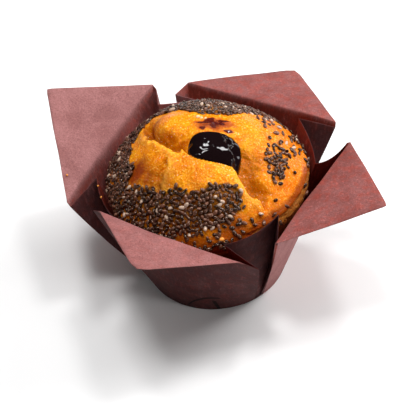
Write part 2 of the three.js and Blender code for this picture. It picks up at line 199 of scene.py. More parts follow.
sheet_columns = []
for index, (petal, pleat) in enumerate(zip(PETALS, PLEATS)):
    foot_before = PLEATS[index - 1]["foot"] - (360 if index == 0 else 0)
    outer_a, inner_a, inner_b, outer_b = (
        polar(*pleat[key]) for key in ("outer_a", "inner_a", "inner_b", "outer_b"))
    foot, soak_and_shade = pleat["foot"], pleat["soak_and_shade"]
    next_start = polar(*PETALS[(index + 1) % 4]["start"])
    fold_a, fold_b = foot - FOLD_DEGREES, foot + FOLD_DEGREES
    panel_a, panel_b = foot - FOLD_DEGREES / 2, foot + FOLD_DEGREES / 2
    petal_a, petal_b = foot - 2 * FOLD_DEGREES, foot + 2 * FOLD_DEGREES
    sheet_columns += petal_columns(petal, foot_before + 2 * FOLD_DEGREES, petal_a)
    sheet_columns += straight_columns(
        polar(*petal["end"]), outer_a, petal_a, fold_a, STRIP_STEPS, soak_and_shade)
    sheet_columns.append(fold_column(fold_a, outer_a, soak_and_shade))
    sheet_columns += straight_columns(
        outer_a, inner_a, fold_a, panel_a, RETURN_STEPS, soak_and_shade, pleat["sag"])
    sheet_columns += panel_columns(pleat)
    sheet_columns += straight_columns(inner_b, outer_b, panel_b, fold_b, RETURN_STEPS, soak_and_shade)
    sheet_columns.append(fold_column(fold_b, outer_b, soak_and_shade))
    sheet_columns += straight_columns(outer_b, next_start, fold_b, petal_b, STRIP_STEPS, soak_and_shade)


def meridian_point(column, share, above):
    """A point on a column: share of the wall, or of the petal where above is true."""
    foot = polar(CASE_BASE_RADIUS, column["base"], PAPER_REST / MM)
    top = column["top"]
    wall = top - foot
    if not column["edge"]:
        point = foot + wall * share
        rise = share
    else:
        petal = column["edge"] - top
        roll = min(column["roll"], petal.length * ROLL_LIMIT)
        if above:
            along = share * petal.length
            point = top + petal * share
            rise = 1
        else:
            along = (share - 1) * wall.length
            point = foot + wall * share
            rise = share
        if abs(along) < roll:
            turn = (along + roll) / (2 * roll)
            before = top - wall.normalized() * roll
            after = top + petal.normalized() * roll
            point = before.lerp(top, turn).lerp(top.lerp(after, turn), turn)
        if above:
            bow = column["bow"] * math.sin(math.pi * share) * petal.length / BOW_SPAN
            point = point + Vector((0, 0, bow))
    radius = math.hypot(point.x, point.y)
    widen = 1 + WALL_BULGE * math.sin(math.pi * rise) / radius
    return Vector((point.x * widen, point.y * widen, point.z))


def soak_and_shade_share(column, share, above):
    """How dark the paper is made, for fat soaked in and as painted shade: little on a petal, more
    below its crease.
    """
    petal_share, wall_share = column["soak_and_shade"]
    if above:
        return petal_share
    below = min((1 - share) * column["top"].z / (SOAK_AND_SHADE_REACH * (column["roll"] + MM)), 1)
    return petal_share + (wall_share - petal_share) * ease(below)


def sheet_mesh():
    """The middle surface of the folded sheet: its points, faces and soaked shares."""
    count = len(sheet_columns)
    points = [Vector((0, 0, PAPER_REST))]
    soak_and_shade = [1.0]
    faces = []

    def join(low, high):
        for column in range(count):
            after = (column + 1) % count
            faces.append((low + column, low + after, high + after, high + column))

    below = None
    for ring in range(1, BASE_STEPS):
        start = len(points)
        radius = CASE_BASE_RADIUS * ring / BASE_STEPS
        points += [polar(radius, column["base"], PAPER_REST / MM) for column in sheet_columns]
        soak_and_shade += [1.0] * count
        if below is None:
            faces += [(0, start + (column + 1) % count, start + column) for column in range(count)]
        else:
            join(below, start)
        below = start
    for ring in range(WALL_STEPS + 1):
        start = len(points)
        share = 1 - (1 - ring / WALL_STEPS) ** CREASE_CROWDING
        points += [meridian_point(column, share, False) for column in sheet_columns]
        soak_and_shade += [soak_and_shade_share(column, share, False) for column in sheet_columns]
        join(below, start)
        below = start
    stacks = [[below + column] for column in range(count)]
    for stack, column in zip(stacks, sheet_columns):
        if column["edge"]:
            for row in range(1, PETAL_STEPS + 1):
                stack.append(len(points))
                points.append(meridian_point(column, (row / PETAL_STEPS) ** CREASE_CROWDING, True))
                soak_and_shade.append(soak_and_shade_share(column, 1, True))
    for column in range(count):
        here, there = stacks[column], stacks[(column + 1) % count]
        if len(here) == len(there) == 1:
            continue
        for row in range(PETAL_STEPS):
            if len(here) == 1:
                faces.append((here[0], there[row], there[row + 1]))
            elif len(there) == 1:
                faces.append((here[row], there[0], here[row + 1]))
            else:
                faces.append((here[row], there[row], there[row + 1], here[row + 1]))
    return np.array(points), [tuple(dict.fromkeys(face)) for face in faces], np.array(soak_and_shade)


NOISE_SHIFT = 19.37
HASH_AXES = (73856093, 19349663, 83492791)
HASH_MIXERS = ((13, 1274126177), (16, 668265263))
HASH_MASK = 0x7FFFFFFF
NOISE_LEVELS = 4096


def cell_noise(points, cell, number):
    """Soft random hills and hollows between -1 and 1, a cell wide and others for each number."""
    scaled = np.asarray(points) / cell + number * NOISE_SHIFT
    corner = np.floor(scaled).astype(np.int64)
    far = ease(scaled - corner)
    total = np.zeros(len(scaled))
    for offset in np.ndindex(2, 2, 2):
        mixed = np.bitwise_xor.reduce((corner + offset) * HASH_AXES, axis=1)
        for shift, factor in HASH_MIXERS:
            mixed = (mixed ^ (mixed >> shift)) * factor & HASH_MASK
        weight = np.prod(np.where(offset, far, 1 - far), axis=1)
        total += weight * ((mixed >> 7) % NOISE_LEVELS / (NOISE_LEVELS / 2 - 0.5) - 1)
    return total


def make_mesh(name, points, faces, smooth_below=180):
    """A new object from points and faces, smooth across edges below an angle in degrees."""
    mesh = bpy.data.meshes.new(name)
    mesh.from_pydata([tuple(point) for point in points], [], faces)
    mesh.validate()
    mesh.polygons.foreach_set("use_smooth", [True] * len(mesh.polygons))
    if smooth_below < 180:
        mesh.set_sharp_from_angle(angle=math.radians(smooth_below))
    piece = bpy.data.objects.new(name, mesh)
    bpy.context.scene.collection.objects.link(piece)
    return piece


def add_marks(piece, name, channels):
    """Stores up to three values for each point of a piece as one colour attribute."""
    count = len(piece.data.vertices)
    values = np.zeros((count, 4), dtype=np.float32)
    for index, channel in enumerate(channels):
        values[:, index] = channel
    marks = piece.data.color_attributes.new(name, "FLOAT_COLOR", "POINT")
    marks.data.foreach_set("color", values.ravel())


class Shade:
    """One socket of a material, so that shader maths reads as plain arithmetic."""

    def __init__(self, material, socket):
        self.material = material
        self.socket = socket

    def maths(self, operation, *others):
        """A Math node that takes this value first and any others after it."""
        return node(self.material, "ShaderNodeMath", {"operation": operation},
                    dict(enumerate((self, *others))))

    def __add__(self, other):
        return self.maths("ADD", other)

    def __sub__(self, other):
        return self.maths("SUBTRACT", other)

    def __rsub__(self, other):
        return node(self.material, "ShaderNodeMath", {"operation": "SUBTRACT"}, {0: other, 1: self})

    def __mul__(self, other):
        return self.maths("MULTIPLY", other)

    __radd__ = __add__
    __rmul__ = __mul__

    def between(self, low, high):
        """0 below the low value, 1 above the high one and a soft step between."""
        return node(self.material, "ShaderNodeMapRange", {"interpolation_type": "SMOOTHSTEP"},
                    {"Value": self, "From Min": low, "From Max": high})


def plug(material, made, inputs):
    """Sets the sockets of a node or a shader, each by a value or by a link."""
    for key, value in inputs.items():
        if isinstance(value, Shade):
            material.node_tree.links.new(made.inputs[key], value.socket)
        else:
            made.inputs[key].default_value = value


def node(material, kind, settings, inputs, output=0):
    """Adds a node: its settings first, then the values or links of its sockets."""
    made = material.node_tree.nodes.new(kind)
    for key, value in settings.items():
        setattr(made, key, value)
    plug(material, made, inputs)
    return Shade(material, made.outputs[output])


def noise(material, size, detail, stretch=(1, 1, 1)):
    """Noise in the object's own space, with features of a size in metres."""
    place = node(material, "ShaderNodeTexCoord", {}, {}, "Object")
    scaled = node(material, "ShaderNodeVectorMath", {"operation": "MULTIPLY"}, {0: place, 1: stretch})
    return node(material, "ShaderNodeTexNoise", {}, {
        "Vector": scaled, "Scale": 1 / size, "Detail": detail, "Roughness": 0.6})


def blend(material, mask, first, second, mode="MIX"):
    """Two colours mixed by a mask: the second shows where the mask is 1."""
    return node(material, "ShaderNodeMix", {"data_type": "RGBA", "blend_type": mode},
                {"Factor": mask, 6: first, 7: second}, 2)


def layered(material, colour, layers, mode="MIX"):
    """A colour with others laid over it in turn, each one where its own mask is 1."""
    for mask, tint in layers:
        colour = blend(material, mask, colour, tint, mode)
    return colour


def mark(material, name, channel):
    """One channel of a colour attribute of the mesh."""
    colour = node(material, "ShaderNodeAttribute", {"attribute_name": name}, {}, "Color")
    return node(material, "ShaderNodeSeparateColor", {}, {"Color": colour}, channel)


def bump(material, height, depth):
    """A fine relief for the Normal socket, from a height between 0 and 1 and a depth in metres."""
    return node(material, "ShaderNodeBump", {}, {"Height": height, "Distance": depth, "Strength": 1})


def new_material(name):
    """An empty material and its Principled shader."""
    material = bpy.data.materials.new(name)
    material.use_nodes = True
    shader = material.node_tree.nodes["Principled BSDF"]
    return material, shader


WAVE_SIZE = 13 * MM
WAVE_HEIGHTS = (0.175 * MM, 0.175 * MM, 0.35 * MM)
WAVE_NUMBER = 3
WAVE_FULL_HEIGHT = 40 * MM
paper_points, paper_faces, soak_and_shade_points = sheet_mesh()
lift = np.clip(paper_points[:, 2] / WAVE_FULL_HEIGHT, 0, 1)
for axis, wave_height in enumerate(WAVE_HEIGHTS):
    wave = cell_noise(paper_points, WAVE_SIZE, WAVE_NUMBER + axis)
    paper_points[:, axis] += wave * lift * wave_height
paper = make_mesh("paper_case_sheet", paper_points, paper_faces, 50)
add_marks(paper, "paper_marks", [soak_and_shade_points])
thickness = paper.modifiers.new("thickness", "SOLIDIFY")
thickness.thickness = PAPER_THICKNESS
thickness.offset = 0
thickness.material_offset = 1

# The soaked colours darken the paper both for fat soaked in and as painted shade on the walls and
# pleats; inside they are redder, partly painted light thrown off the crust.
PAPER_MAUVE = (0.325, 0.140, 0.135, 1)
PAPER_DEEP = (0.18, 0.062, 0.057, 1)
SOAKED_AND_SHADED_INSIDE = (0.15, 0.025, 0.016, 1)
SOAKED_AND_SHADED_OUTSIDE = (0.056, 0.018, 0.018, 1)
PAPER_GLOW = (0.36, 0.12, 0.10, 1)
GLOW_SHARE = 0.13
FIBRE_PALE = (1.4, 1.45, 1.45, 1)
FIBRE_DARK = (0.58, 0.52, 0.52, 1)
RED_BLOTCH = (1.25, 0.74, 0.62, 1)
WALL_STREAK = (1.9, 1.9, 1.95, 1)
CREASE_SHADE = (0.12, 0.10, 0.10, 1)
CLOUD_SIZE = 9 * MM
BLOTCH_SIZE = 2.8 * MM
FIBRE_SIZE = 0.6 * MM
FIBRE_STRETCH = (1, 1, 0.35)
SPECK_SIZE = 0.5 * MM
STREAK_SIZE = 1.1 * MM
STREAK_STRETCH = (1, 1, 0.12)
PAPER_RELIEF = 0.05 * MM
LINE_CORE = 0.35 * MM
LINE_EDGE = 0.9 * MM
ARCH_LINE = {"offset": 10.8 * MM, "slope": -0.34, "bend": -85, "first": -13 * MM, "last": 0.4 * MM}
STEM_LINE = {"offset": -0.7 * MM, "slope": -0.19, "bend": 0, "first": 0, "last": 9 * MM}
CORNER_LINE = {"offset": -6.9 * MM, "slope": 0.61, "bend": 0, "first": 12.5 * MM, "last": 18.5 * MM}


def crease_line(across, along, offset, slope, bend, first, last):
    """1 on a thin curve that gives along as offset + slope * across + bend * across squared."""
    curve = across * across * bend + across * slope + offset
    away = (along - curve).maths("ABSOLUTE")
    ends = across.between(first, first + MM) * (1 - across.between(last - MM, last))
    return (1 - away.between(LINE_CORE, LINE_EDGE)) * ends


def object_axes(material):
    """The three coordinates of a place on the piece, in metres."""
    place = node(material, "ShaderNodeTexCoord", {}, {}, "Object")
    return [node(material, "ShaderNodeSeparateXYZ", {}, {"Vector": place}, axis) for axis in "XYZ"]


def base_crease_shade(material):
    """Painted shade along the creases at the front of the cup's foot, where the flat base gathers the
    paper.
    """
    x, y, height = object_axes(material)
    around = x.maths("ARCTAN2", y * -1) * (CASE_BASE_RADIUS * MM)
    arch = crease_line(around, height, **ARCH_LINE)
    stem = crease_line(height, around, **STEM_LINE)
    corner = crease_line(around, height, **CORNER_LINE)
    return (arch + stem + corner).between(0, 1)


def paper_material(name, soaked_and_shaded_colour):
    """Matt fibrous paper that lets some light through, darker where fat has soaked in and with
    painted shade on the walls and pleats.
    """
    material, shader = new_material(name)
    cloud = noise(material, CLOUD_SIZE, 3)
    blotch = noise(material, BLOTCH_SIZE, 5)
    fibre = noise(material, FIBRE_SIZE, 3, FIBRE_STRETCH)
    speck = noise(material, SPECK_SIZE, 3)
    streak = noise(material, STREAK_SIZE, 3, STREAK_STRETCH)
    soak_and_shade = mark(material, "paper_marks", 0)
    colour = layered(material, PAPER_MAUVE, [
        (cloud.between(0.35, 0.7) * 0.5, PAPER_DEEP),
        # Darker where fat has soaked in, and painted shade on the walls and pleats.
        (soak_and_shade * (0.75 + cloud * 0.5), soaked_and_shaded_colour),
    ])
    colour = layered(material, colour, [
        (blotch.between(0.42, 0.64) * (soak_and_shade * 1.8).between(0, 1) * 0.7, RED_BLOTCH),
        (fibre.between(0.46, 0.66) * 0.55, FIBRE_PALE),
        (streak.between(0.52, 0.72) * (0.2 + soak_and_shade * 0.6), WALL_STREAK),
        (speck.between(0.5, 0.64) * 0.6, FIBRE_DARK),
        # Painted shade: thin dark lines where the paper creases at the foot.
        (base_crease_shade(material), CREASE_SHADE),
    ], "MULTIPLY")
    plug(material, shader, {
        "Base Color": colour,
        "Roughness": 0.72,
        "Specular IOR Level": 0.12,
        "Normal": bump(material, fibre * 0.7 + speck * 0.3, PAPER_RELIEF),
    })
    glow = node(material, "ShaderNodeBsdfTranslucent", {}, {"Color": PAPER_GLOW})
    surface = Shade(material, shader.outputs[0])
    both = node(material, "ShaderNodeMixShader", {}, {
        0: (1 - soak_and_shade * 0.7) * GLOW_SHARE, 1: surface, 2: glow})
    output = material.node_tree.nodes["Material Output"]
    material.node_tree.links.new(output.inputs["Surface"], both.socket)
    return material


paper.data.materials.append(paper_material("paper_outside", SOAKED_AND_SHADED_OUTSIDE))
paper.data.materials.append(paper_material("paper_inside", SOAKED_AND_SHADED_INSIDE))
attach(paper, "root")
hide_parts("paper_case")

# The muffin is one piece of baked crumb. It rose out of its case into a dome whose crust
# split in three cracks between soft mounds, with a hollow for the jam, and its widest line
# folds over the case's wall as a thin brown lip.
RIM_RADIUS = 37.7 * MM
RIM_HEIGHT = 43.7 * MM
TOP_HEIGHT = 68.5 * MM
DOME_FLATNESS = 2.06
DOME_POINTEDNESS = 0.82
LIP_EDGE = 46.9 * MM
LIP_DROP = 5.7 * MM
LIP_OVERHANG = 2.8 * MM
SIDE_FOOT_RADIUS = 26.0 * MM
FOOT_HEIGHT = 0.8 * MM
FOOT_ROUNDING = 1.8 * MM
RELIEF_FADE = math.radians(25)
SLOPE_STEP = math.radians(0.5)
TOP_CAP = 0.004
CRUST_COLUMNS = 460
DOME_ROWS = 150
LIP_ROWS = 14
SIDE_ROWS = 24
# Places are in plan, in millimetres from the axis. A crack's left and right are its widths on
# that side at the start and the end of its line, and a high flatness gives it a flat floor.
MOUNDS = [
    {"at": (-12, 4), "reach": 8, "rise": 2.4},
    {"at": (-21, -9), "reach": 8, "rise": 1.5},
    {"at": (-4, -22), "reach": 9, "rise": 1.6},
    {"at": (22, -8), "reach": 13, "rise": 1.3},
    {"at": (-25, 12), "reach": 7, "rise": -1.5},
    {"at": (14, 21), "reach": 12, "rise": -1.1},
]
CRACKS = [
    {"line": [(-22, 14), (-20, 3.6), (-16.6, -0.8), (-13.2, -5.4), (-10, -8)],
     "left": (2.4, 4.2), "right": (0.9, 0.9), "depth": 4.6, "flatness": 1.7},
    {"line": [(-15, -12.4), (-17.6, -15.8), (-18.8, -21)],
     "left": (0.8, 1.0), "right": (1.2, 4.0), "depth": 1.8, "flatness": 1.7},
    {"line": [(9.8, -16), (11.2, -20.2), (13.2, -22.9), (15.6, -24.6)],
     "left": (8.8, 4.4), "right": (0.8, 0.8), "depth": 4.0, "flatness": 3},
]
DEEP_CRACK = 4.0
CRACK_WAVE = 0.9 * MM
CRACK_WAVE_SIZE = 1.7 * MM
CREST_AWAY = 2.2 * MM
CREST_REACH = 1.5 * MM
CREST_RISE = 0.45 * MM
CREST_CLEARANCE = 1.2
JAM_CENTRE = (2.9 * MM, -9.7 * MM)
JAM_LENGTH = 18.9 * MM
JAM_WIDTH = 12.5 * MM
JAM_TURN = math.radians(-12)
JAM_SQUARENESS = 2.4
JAM_RISE = 1.5 * MM
JAM_DEPTH = 3.2 * MM
JAM_TAIL = 1.8 * MM
JAM_TAIL_DIRECTION = math.radians(-48)
JAM_TAIL_SPREAD = math.radians(15)


def jam_reach(angle):
    """The jam's outline: a squarish oval with a tail that runs down towards the crack."""
    across = np.abs(np.cos(angle - JAM_TURN)) / (JAM_LENGTH / 2)
    along = np.abs(np.sin(angle - JAM_TURN)) / (JAM_WIDTH / 2)
    oval = (across ** JAM_SQUARENESS + along ** JAM_SQUARENESS) ** (-1 / JAM_SQUARENESS)
    off_tail = np.arctan2(np.sin(angle - JAM_TAIL_DIRECTION), np.cos(angle - JAM_TAIL_DIRECTION))
    return oval + JAM_TAIL * np.exp(-((off_tail / JAM_TAIL_SPREAD) ** 2))


def jam_share(x, y):
    """0 in the middle of the jam and 1 on its outline."""
    across, along = x - JAM_CENTRE[0], y - JAM_CENTRE[1]
    return np.hypot(across, along) / jam_reach(np.arctan2(along, across))


def crack_distance(x, y, crack):
    """Distances to the ragged line of a crack, the width on that side and which side is left."""
    flat = np.stack([x, y, np.zeros(np.shape(x))], axis=-1).reshape(-1, 3)
    x = x + cell_noise(flat, CRACK_WAVE_SIZE, 31).reshape(np.shape(x)) * CRACK_WAVE
    y = y + cell_noise(flat, CRACK_WAVE_SIZE, 32).reshape(np.shape(y)) * CRACK_WAVE
    nearest = np.full(np.shape(x), np.inf)
    side = np.zeros(np.shape(x))
    progress = np.zeros(np.shape(x))
    legs = list(zip(crack["line"][:-1], crack["line"][1:]))
    for leg, (start, end) in enumerate(legs):
        start, end = np.array(start) * MM, np.array(end) * MM
        run = end - start
        off_x, off_y = x - start[0], y - start[1]
        share = np.clip((off_x * run[0] + off_y * run[1]) / run.dot(run), 0, 1)
        distance = np.hypot(off_x - share * run[0], off_y - share * run[1])
        side = np.where(distance < nearest, run[0] * off_y - run[1] * off_x, side)
        progress = np.where(distance < nearest, (leg + share) / len(legs), progress)
        nearest = np.minimum(nearest, distance)
    left, right = (
        (1 - progress) * first + progress * last for first, last in (crack["left"], crack["right"]))
    return nearest, np.where(side > 0, left, right) * MM, side > 0


def crack_shape(x, y, crack):
    """1 in the floor of a crack, falling to 0 on both sides, steeply on its ragged side."""
    nearest, width = crack_distance(x, y, crack)[:2]
    return np.exp(-((nearest / width) ** crack["flatness"]))


def crest_shape(x, y, crack):
    """1 on the crumbly crest that stands beside the steep side of a crack, clear of the jam."""
    nearest, width, on_left = crack_distance(x, y, crack)
    steep = on_left if crack["left"] < crack["right"] else ~on_left
    crest = np.exp(-(((nearest - CREST_AWAY) / CREST_REACH) ** 2)) * steep
    return crest * np.clip((jam_share(x, y) - CREST_CLEARANCE) * 2, 0, 1)


def crack_mask(x, y):
    """1 in the floor of a deep crack, less in a shallow one, falling softly to 0 beside it."""
    shapes = [crack_shape(x, y, crack) * min(crack["depth"] / DEEP_CRACK, 1) for crack in CRACKS]
    return np.max(shapes, axis=0)


def crust_relief(x, y):
    """How far the crust stands proud of the plain dome."""
    relief = np.zeros(np.shape(x))
    for mound in MOUNDS:
        distance = np.hypot(x - mound["at"][0] * MM, y - mound["at"][1] * MM)
        relief += mound["rise"] * MM * np.exp(-((distance / (mound["reach"] * MM)) ** 2))
    for crack in CRACKS:
        relief -= crack["depth"] * MM * crack_shape(x, y, crack)
        relief += CREST_RISE * crest_shape(x, y, crack)
    return relief


def dome_profile(turn):
    """The plain dome from its top, at turn 0, to its widest line, at a quarter turn."""
    share = np.sin(turn)
    height = np.clip(1 - share ** DOME_FLATNESS, 0, 1) ** DOME_POINTEDNESS
    return RIM_RADIUS * share, RIM_HEIGHT + (TOP_HEIGHT - RIM_HEIGHT) * height


def crust_surface(direction, turn):
    """Points of the crust and their outward directions, before the fine grain."""
    quarter = math.pi / 2
    radius, height = dome_profile(turn)
    radius_before, height_before = dome_profile(np.clip(turn - SLOPE_STEP, 0, quarter))
    radius_after, height_after = dome_profile(np.clip(turn + SLOPE_STEP, 0, quarter))
    slope = np.hypot(radius_after - radius_before, height_after - height_before)
    outward = (height_before - height_after) / slope
    upward = (radius_after - radius_before) / slope
    x, y = radius * np.cos(direction), radius * np.sin(direction)
    relief = crust_relief(x, y) * ease(np.clip((quarter - turn) / RELIEF_FADE, 0, 1))
    normal = np.stack([outward * np.cos(direction), outward * np.sin(direction), upward], axis=-1)
    return np.stack([x, y, height], axis=-1) + normal * relief[..., None], normal


def crust_height(x, y):
    """The height of the crust above places in plan, without the jam's hollow."""
    share = np.clip(np.hypot(x, y) / RIM_RADIUS, 0, 1)
    return crust_surface(np.arctan2(y, x), np.arcsin(share))[0][..., 2]


def skin_faces(rows, columns):
    """Faces of a closed skin of rings, each ring one row of points, with a cap at both ends."""
    row, column = np.meshgrid(np.arange(rows - 1), np.arange(columns), indexing="ij")
    after = (column + 1) % columns
    low, high = row * columns, (row + 1) * columns
    quads = np.stack([low + column, high + column, high + after, low + after], axis=-1)
    first_cap = tuple(range(columns))
    last_cap = tuple(reversed(range((rows - 1) * columns, rows * columns)))
    return quads.reshape(-1, 4).tolist() + [first_cap, last_cap]


def crust_points():
    """The rings of the muffin's skin, from the top down to the foot, and their normals."""
    directions = np.linspace(0, 2 * math.pi, CRUST_COLUMNS, endpoint=False)
    turns = np.linspace(TOP_CAP, 1, DOME_ROWS) * math.pi / 2
    direction, turn = np.meshgrid(directions, turns)
    dome, dome_normal = crust_surface(direction, turn)
    rows, normals = [dome], [dome_normal]
    lip_radius = RIM_RADIUS - LIP_OVERHANG
    lip_height = RIM_HEIGHT - LIP_DROP
    profile = []
    for step in range(1, LIP_ROWS + 1):
        angle = math.pi / 2 * step / LIP_ROWS
        profile.append((lip_radius + LIP_OVERHANG * math.cos(angle),
                        RIM_HEIGHT - LIP_DROP * math.sin(angle)))
    for step in range(1, SIDE_ROWS + 1):
        share = step / SIDE_ROWS
        profile.append((lip_radius + (SIDE_FOOT_RADIUS - lip_radius) * share,
                        lip_height + (FOOT_HEIGHT + FOOT_ROUNDING - lip_height) * share))
    profile.append((SIDE_FOOT_RADIUS - FOOT_ROUNDING, FOOT_HEIGHT))
    for radius, height in profile:
        ring = np.stack([radius * np.cos(directions), radius * np.sin(directions),
                         np.full(CRUST_COLUMNS, height)], axis=-1)
        out = np.stack([np.cos(directions), np.sin(directions), np.zeros(CRUST_COLUMNS)], axis=-1)
        rows.append(ring[None])
        normals.append(out[None])
    return np.concatenate(rows).reshape(-1, 3), np.concatenate(normals).reshape(-1, 3)


# The thick part of the collar of seeds, as directions round the dome with the distances from
# its axis at which it starts, and along the front also those at which it ends.
COLLAR_START = [
    (35.5, 22), (37, 16), (41, 10.8), (55, 7.9), (82, 6.7), (108, 8.5), (119, 12.8), (125, 18.5),
    (132, 27), (150, 27.5), (160, 28.5), (172, 27.6), (194, 27.3), (201, 31), (206, 31), (214, 28.6),
    (220, 26.6), (229, 27), (240, 24.4), (249, 24.4), (254, 25.6), (259, 24.7), (276, 23.9),
    (287, 23), (291, 24.1), (295, 27),
]
COLLAR_END = [(235, 38), (250, 35.6), (265, 34.6), (279, 33), (285, 31.4), (290, 29.9), (295, 28)]
NO_COLLAR = 60
COLLAR_FADE = 0.8
COLLAR_WAVE = 1.1
COLLAR_WAVE_SIZE = 3 * MM
PAST_COLLAR = 0.03
PATCH = {"at": (25.2, -10.6), "length": 7.4, "width": 4.0, "turn": math.radians(75), "share": 0.55}
THIN_FROM = 22
THIN_SIDE = (295, 40)
THIN_BACK = 0.013
THIN_FRONT = 0.003
THIN_FRONT_START = -6 * MM
SEED_CLEARANCE = 1.35


def seed_cover(x, y):
    """How likely a seed stays at each place in plan."""
    direction = np.degrees(np.arctan2(y, x)) % 360
    radius = np.hypot(x, y) / MM
    flat = np.stack([x, y, np.zeros_like(x)], axis=-1)
    wander = cell_noise(flat, COLLAR_WAVE_SIZE, 8) * COLLAR_WAVE
    start = np.interp(direction, *np.array(COLLAR_START).T, left=NO_COLLAR, right=NO_COLLAR)
    end = np.interp(direction, *np.array(COLLAR_END).T, left=NO_COLLAR, right=NO_COLLAR)
    collar = np.clip((radius - start + wander) / COLLAR_FADE, 0, 1)
    collar = np.where(radius + wander > end, PAST_COLLAR, collar)
    across, along = x / MM - PATCH["at"][0], y / MM - PATCH["at"][1]
    turned_x = across * math.cos(PATCH["turn"]) + along * math.sin(PATCH["turn"])
    turned_y = along * math.cos(PATCH["turn"]) - across * math.sin(PATCH["turn"])
    patch_away = np.hypot(turned_x / PATCH["length"], turned_y / PATCH["width"])
    patch = PATCH["share"] * np.clip(1.5 - patch_away * 1.3 + wander * 0.25, 0, 1)
    thin_side = (direction > THIN_SIDE[0]) | (direction < THIN_SIDE[1])
    thin = np.where(y > THIN_FRONT_START, THIN_BACK, THIN_FRONT) * ((radius > THIN_FROM) & thin_side)
    chance = np.maximum(np.maximum(collar, patch), thin)
    return np.where(jam_share(x, y) < SEED_CLEARANCE, 0, chance)


# Each row of lumps or grain is a size, a height and the number of its noise. The crust is open
# under its lip at the front right, where the baked skin has torn off the crumb.
LUMPS = [(6 * MM, 0.45 * MM, 1), (2.4 * MM, 0.2 * MM, 2)]
GRAIN = [(1.2 * MM, 0.1 * MM, 4), (0.6 * MM, 0.06 * MM, 5)]
DOME_FADE = 6 * MM
CRACK_ROUGHNESS = 0.5
CALM_EDGE_HEIGHT = RIM_HEIGHT + 2 * MM
CALM_EDGE = 0.6
OPEN_SIDE_X = (8 * MM, 16 * MM)
OPEN_SIDE_Y = (-6 * MM, 0)
OPEN_FADE = 0.7 * MM
OPEN_CRUMB_SIZE = 0.9 * MM
OPEN_CRUMB_HEIGHT = 0.25 * MM
OPEN_CRUMB_SETBACK = 0.6 * MM
JAM_GAP = 0.3 * MM


def ramp(values, low, high):
    """0 below the low value, 1 above the high one and even between."""
    return np.clip((values - low) / (high - low), 0, 1)


def noise_layers(points, layers):
    """Soft noise of several sizes added up."""
    return sum(cell_noise(points, size, number) * height for size, height, number in layers)


skin, outward = crust_points()
plan_x, plan_y = skin[:, 0], skin[:, 1]
on_dome = ramp(skin[:, 2], RIM_HEIGHT, RIM_HEIGHT + DOME_FADE)
in_crack = crack_mask(plan_x, plan_y) * on_dome
in_jam = np.clip(1 - jam_share(plan_x, plan_y) ** 2, 0, 1) * on_dome
grain = noise_layers(skin, GRAIN) * (1 + CRACK_ROUGHNESS * in_crack)
relief = (noise_layers(skin, LUMPS) + grain) * np.where(skin[:, 2] < CALM_EDGE_HEIGHT, CALM_EDGE, 1)
torn_side = ramp(plan_x, *OPEN_SIDE_X) * (1 - ramp(plan_y, *OPEN_SIDE_Y))
torn = torn_side * (1 - ramp(skin[:, 2], LIP_EDGE - OPEN_FADE, LIP_EDGE))
relief += torn * (cell_noise(skin, OPEN_CRUMB_SIZE, 6) * OPEN_CRUMB_HEIGHT - OPEN_CRUMB_SETBACK)
skin = skin + outward * relief[:, None]
skin[:, 2] -= np.sqrt(in_jam) * (JAM_DEPTH + JAM_GAP)
crust_rows = DOME_ROWS + LIP_ROWS + SIDE_ROWS + 1
crust = make_mesh("muffin_crust", skin, skin_faces(crust_rows, CRUST_COLUMNS))

BROWN_PATCHES = [
    {"at": (-25.6, -10), "reach": 4.4, "strength": 1.3},
    {"at": (-21.8, -14.5), "reach": 3.2, "strength": 0.8},
    {"at": (8, -35), "reach": 5.5, "strength": 0.9},
    {"at": (-3, -26), "reach": 4.0, "strength": 0.35},
    {"at": (-18.5, 11.3), "reach": 3.6, "strength": 0.8},
    {"at": (-20.5, 3.5), "reach": 1.6, "strength": 0.8},
    {"at": (-16.5, -18), "reach": 3.0, "strength": 0.8},
    {"at": (20, -14), "reach": 4.5, "strength": 0.35},
    {"at": (26, 8), "reach": 6.0, "strength": 0.25},
]
SMEAR = [
    {"at": (0.9, 2.3), "length": 3.4, "width": 0.9, "strength": 1.1},
    {"at": (2.6, 3.2), "length": 1.6, "width": 0.8, "strength": 1},
    {"at": (7.3, 2.7), "length": 2.4, "width": 0.7, "strength": 1.1},
    {"at": (8.3, -2.9), "length": 1.6, "width": 0.7, "strength": 1},
    {"at": (-0.2, -0.6), "length": 1.2, "width": 1.0, "strength": 0.8},
    {"at": (4.2, 0.9), "length": 6.6, "width": 3.2, "strength": 0.6},
]
SMEAR_SOFTNESS = 1.4
SMEAR_WAVE_SIZE = 1.3 * MM
SMEAR_WAVE = 0.7


def brown_share(x, y):
    """How deeply the crust is browned at each place in plan."""
    shares = []
    for patch in BROWN_PATCHES:
        away = np.hypot(x / MM - patch["at"][0], y / MM - patch["at"][1]) / patch["reach"]
        shares.append(patch["strength"] * np.exp(-away ** 2))
    return np.max(shares, axis=0)


def smear_share(x, y, points):
    """How thickly the drops of the jam's smear lie at each place in plan, with ragged edges."""
    wander_x, wander_y = (
        cell_noise(points, SMEAR_WAVE_SIZE, number) * SMEAR_WAVE for number in (51, 52))
    shares = []
    for drop in SMEAR:
        across = (x / MM + wander_x - drop["at"][0]) / drop["length"]
        along = (y / MM + wander_y - drop["at"][1]) / drop["width"]
        shares.append(drop["strength"] * np.exp(-(across ** 2 + along ** 2) / SMEAR_SOFTNESS))
    return np.max(shares, axis=0)


brown, smear = brown_share(plan_x, plan_y), smear_share(plan_x, plan_y, skin)
add_marks(crust, "crust_marks", [in_crack, brown, smear])
crest = np.max([crest_shape(plan_x, plan_y, crack) for crack in CRACKS], axis=0) * on_dome
add_marks(crust, "cover_marks", [seed_cover(plan_x, plan_y) * on_dome, crest])

